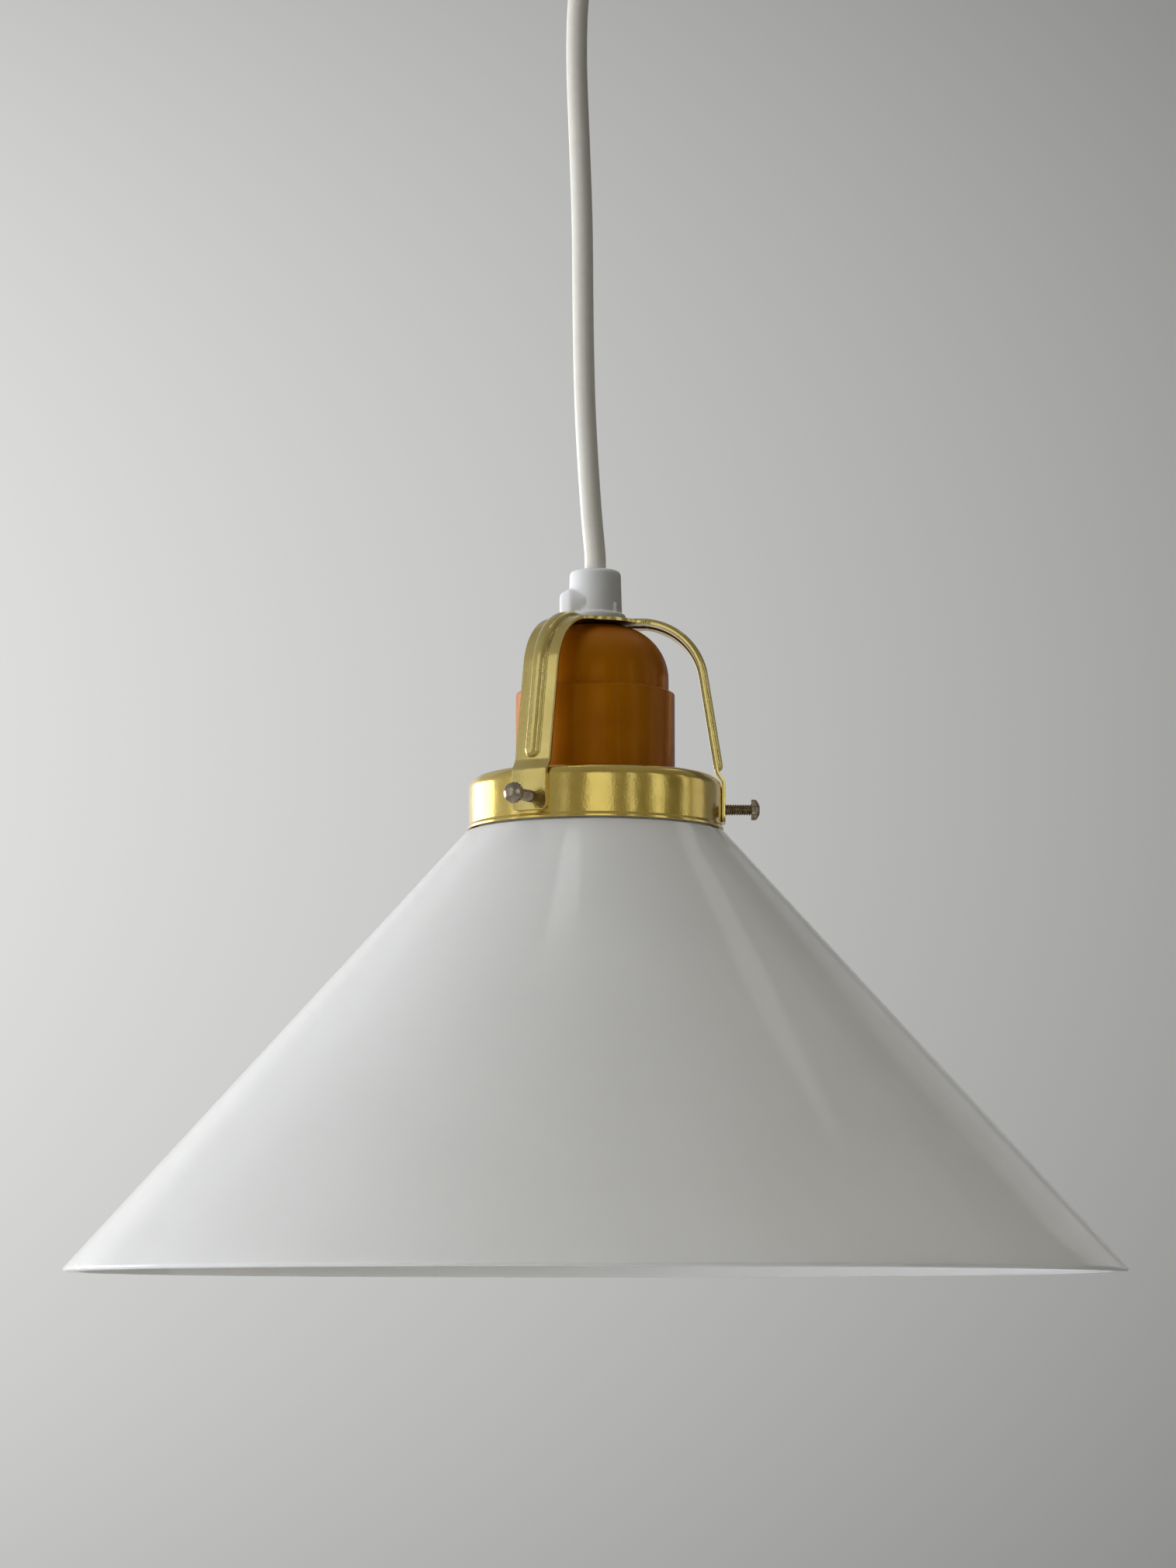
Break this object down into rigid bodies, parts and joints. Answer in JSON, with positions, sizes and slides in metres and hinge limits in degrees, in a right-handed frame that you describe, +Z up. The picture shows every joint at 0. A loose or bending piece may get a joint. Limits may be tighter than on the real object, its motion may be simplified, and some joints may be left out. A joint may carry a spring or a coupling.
{
  "type": "pendant ceiling light",
  "caption": "Opal glass cone pendant on a white cord: brass spider and gallery ring held by thumbscrews, amber metal lampholder, cord grips and a ceiling rose.",
  "frame": {"origin": "on the ceiling, where the rose's bracket lies flat against it, on the light's axis", "axes": "+Z up into the ceiling, the light hangs to -Z; +X towards the first thumbscrew; -Y is the front"},
  "size_m": [0.25, 0.25, 0.415],
  "materials": {
    "white_plastic": "moulded white plastic, satin",
    "white_pvc": "smooth white PVC sheath, satin",
    "bracket_steel": "zinc-plated steel",
    "screw_steel": "zinc-plated steel",
    "block_plastic": "natural nylon",
    "terminal_brass": "plain brass",
    "live_sheath": "brown PVC",
    "neutral_sheath": "blue PVC",
    "polished_brass": "lacquered pale brass, lightly worn",
    "amber_shell": "amber-lacquered metal, satin",
    "porcelain": "white glazed porcelain",
    "socket_brass": "thin drawn brass",
    "dull_nickel": "dull oxidised nickel plate on brass",
    "opal_glass": "smooth opal white glass"
  },
  "bodies": {
    "ceiling_rose": {"ceiling_bracket": "bracket_steel", "canopy": "white_plastic", "canopy_screws": "screw_steel", "terminal_block": "block_plastic", "terminal_block_screws": "screw_steel", "upper_cord_grip": "white_plastic", "upper_clamp_screw": "white_plastic", "upper_lock_nut": "screw_steel", "upper_live_core": "live_sheath", "upper_neutral_core": "neutral_sheath", "cord_in_rose": "white_pvc"},
    "cord_link": {"cord_link": "white_pvc"},
    "cord": {"cord": "white_pvc"},
    "centre_contact": {"centre_contact": "socket_brass"},
    "thumbscrew_shank_1": {"thumbscrew_shank_1": "dull_nickel"},
    "thumbscrew_head_1": {"thumbscrew_head_1": "dull_nickel"},
    "thumbscrew_shank_2": {"thumbscrew_shank_2": "dull_nickel"},
    "thumbscrew_head_2": {"thumbscrew_head_2": "dull_nickel"},
    "thumbscrew_shank_3": {"thumbscrew_shank_3": "dull_nickel"},
    "thumbscrew_head_3": {"thumbscrew_head_3": "dull_nickel"},
    "lamp": {"cord_in_holder": "white_pvc", "lower_cord_grip": "white_plastic", "lower_clamp_screw": "white_plastic", "spider": "polished_brass", "gallery_ring": "polished_brass", "glass_shade": "opal_glass", "holder_cap": "amber_shell", "holder_skirt": "amber_shell", "porcelain_insert": "porcelain", "live_terminal": "terminal_brass", "neutral_terminal": "terminal_brass", "terminal_screws": "screw_steel", "lower_live_core": "live_sheath", "lower_neutral_core": "neutral_sheath", "screw_shell": "socket_brass", "shell_rivets": "socket_brass"}
  },
  "joints": [
    {"name": "swing_to_and_fro", "type": "hinge", "parent": "ceiling_rose", "child": "cord_link", "pos_m": [0, 0, -0.0658], "axis": [1, 0, 0], "range_deg": [-20, 20]},
    {"name": "swing_side_to_side", "type": "hinge", "parent": "cord_link", "child": "cord", "pos_m": [0, 0, -0.0778], "axis": [0, 1, 0], "range_deg": [-20, 20]},
    {"name": "twist_on_cord", "type": "hinge", "parent": "cord", "child": "lamp", "pos_m": [0, 0, -0.2468], "axis": [0, 0, 1], "range_deg": [-90, 90]},
    {"name": "thumbscrew_1_travel", "type": "slide", "parent": "lamp", "child": "thumbscrew_shank_1", "axis": [1, 0, 0], "range_m": [0, 0.0022]},
    {"name": "thumbscrew_1_turn", "type": "hinge", "parent": "thumbscrew_shank_1", "child": "thumbscrew_head_1", "pos_m": [0.038, 0, -0.30484], "axis": [1, 0, 0], "range_deg": [0, 1320.5]},
    {"name": "thumbscrew_2_travel", "type": "slide", "parent": "lamp", "child": "thumbscrew_shank_2", "axis": [-0.5, 0.866, 0], "range_m": [0, 0.0022]},
    {"name": "thumbscrew_2_turn", "type": "hinge", "parent": "thumbscrew_shank_2", "child": "thumbscrew_head_2", "pos_m": [-0.019, 0.03291, -0.30484], "axis": [-0.5, 0.866, 0], "range_deg": [0, 1320.5]},
    {"name": "thumbscrew_3_travel", "type": "slide", "parent": "lamp", "child": "thumbscrew_shank_3", "axis": [-0.5, -0.866, 0], "range_m": [0, 0.0022]},
    {"name": "thumbscrew_3_turn", "type": "hinge", "parent": "thumbscrew_shank_3", "child": "thumbscrew_head_3", "pos_m": [-0.019, -0.03291, -0.30484], "axis": [-0.5, -0.866, 0], "range_deg": [0, 1320.5]},
    {"name": "contact_press", "type": "hinge", "parent": "lamp", "child": "centre_contact", "pos_m": [0.004, 0, -0.289], "axis": [0, 1, 0], "range_deg": [0, 10], "stiffness_Nm_per_rad": 0.02}
  ],
  "couplings": [
    {"joint": "thumbscrew_1_turn", "follows": "thumbscrew_1_travel", "rad_per_m": 10472},
    {"joint": "thumbscrew_2_turn", "follows": "thumbscrew_2_travel", "rad_per_m": 10472},
    {"joint": "thumbscrew_3_turn", "follows": "thumbscrew_3_travel", "rad_per_m": 10472}
  ]
}
